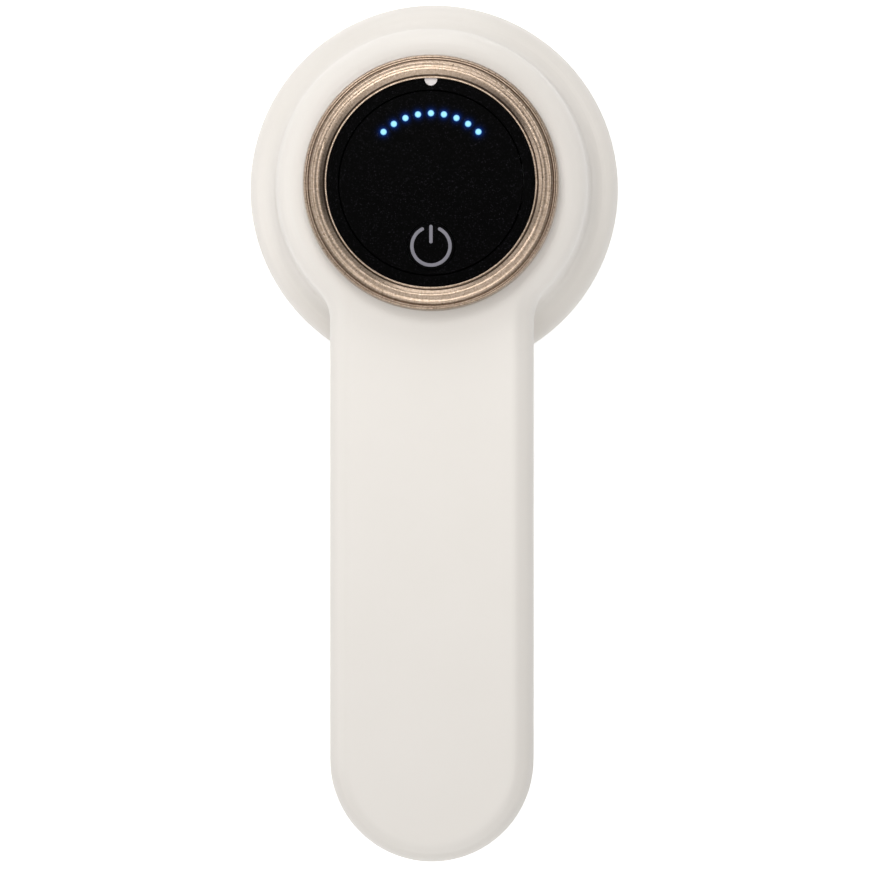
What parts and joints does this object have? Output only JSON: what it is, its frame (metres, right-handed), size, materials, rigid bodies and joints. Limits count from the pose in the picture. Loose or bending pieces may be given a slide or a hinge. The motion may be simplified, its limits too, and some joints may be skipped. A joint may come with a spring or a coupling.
{
  "type": "red light body massager",
  "caption": "Hand-held red light body massager: round head with a turning metal dial and power button on top, a red light window in a steel contact ring below, and a long flat handle.",
  "frame": {"origin": "on the head's axis, in the plane of the skin-side face (contact ring and lens)", "axes": "+Z out through the dial, +Y from the handle towards the head, so the handle runs along -Y; +X to the right as the dial is read"},
  "size_m": [0.09, 0.2076, 0.0453],
  "materials": {
    "casing_plastic": "satin moulded",
    "dial_metal": "satin champagne anodised",
    "black_plastic": "satin black",
    "white_plastic": "white",
    "glide_plastic": "low-friction moulded",
    "frame_plastic": "moulded",
    "base_plastic": "satin moulded",
    "plug_rubber": "soft moulded",
    "screw_steel": "zinc plated",
    "board": "solder-masked",
    "board_parts": "moulded",
    "level_light": "lit clear pins",
    "led_blue": "moulded",
    "symbol": "translucent",
    "plunger": "moulded",
    "contact_steel": "polished stainless",
    "red_lens": "clear red",
    "red_led": "clear resin",
    "seal_rubber": "soft",
    "motor_steel": "zinc plated",
    "motor_cap": "moulded",
    "bush_bronze": "sintered",
    "magnet": "sintered",
    "armature": "laminated and wound",
    "shaft_steel": "ground",
    "cell_wrap": "shrink wrapped",
    "tab_nickel": "nickel strip",
    "socket_steel": "plated",
    "lead_red": "insulated wire",
    "lead_black": "insulated wire"
  },
  "bodies": {
    "casing": {"front_shell": "casing_plastic", "rear_shell": "casing_plastic", "display_panel": "black_plastic", "reflector": "white_plastic", "dial_glide_ring": "glide_plastic", "dial_carrier": "frame_plastic", "motor_mount": "frame_plastic", "battery_cradle": "frame_plastic", "head_base": "base_plastic", "screw_plugs": "plug_rubber", "case_screws": "screw_steel", "carrier_screws": "screw_steel", "display_board_screws": "screw_steel", "head_base_screws": "screw_steel", "light_board_screws": "screw_steel", "motor_clamp_screws": "screw_steel", "cradle_screws": "screw_steel", "main_board_screws": "screw_steel", "display_board": "board", "light_board": "board", "main_board": "board", "board_parts": "board_parts", "power_switch": "board_parts", "level_encoder": "board_parts", "level_light_guide": "level_light", "level_leds": "led_blue", "contact_ring": "contact_steel", "lens_window": "red_lens", "red_leds": "red_led", "lens_gasket": "seal_rubber", "motor_pad": "seal_rubber", "battery_pad": "seal_rubber", "motor_can": "motor_steel", "motor_clamp": "motor_steel", "motor_end_cap": "motor_cap", "motor_bushes": "bush_bronze", "motor_magnets": "magnet", "battery_cell": "cell_wrap", "battery_tabs": "tab_nickel", "charging_socket": "socket_steel", "battery_leads": "lead_red", "light_leads": "lead_red", "display_leads": "lead_black", "motor_leads": "lead_black"},
    "dial": {"dial_ring": "dial_metal", "dial_collar": "black_plastic", "dial_pointer": "white_plastic", "dial_gear": "glide_plastic", "dial_gear_screws": "screw_steel"},
    "button": {"power_button": "black_plastic", "power_symbol": "symbol", "switch_plunger": "plunger"},
    "encoder_rotor": {"encoder_shaft": "shaft_steel", "encoder_pinion": "glide_plastic"},
    "motor_rotor": {"motor_armature": "armature", "motor_shaft": "shaft_steel", "eccentric_weight": "bush_bronze"}
  },
  "joints": [
    {"name": "dial_turn", "type": "hinge", "parent": "casing", "child": "dial", "pos_m": [0, 0, 0.0384], "axis": [0, 0, 1], "range_deg": [-43, 43]},
    {"name": "encoder_turn", "type": "hinge", "parent": "casing", "child": "encoder_rotor", "pos_m": [0.016, 0, 0.033], "axis": [0, 0, 1], "range_deg": [-130, 130]},
    {"name": "button_press", "type": "slide", "parent": "casing", "child": "button", "axis": [0, 0, -1], "range_m": [0, 0.0004], "stiffness_N_per_m": 1000, "springref_m": -0.0005},
    {"name": "motor_spin", "type": "hinge", "parent": "casing", "child": "motor_rotor", "pos_m": [0, 0, 0.02035], "axis": [1, 0, 0], "continuous": true}
  ],
  "couplings": [
    {"joint": "encoder_turn", "follows": "dial_turn", "ratio": 3}
  ]
}
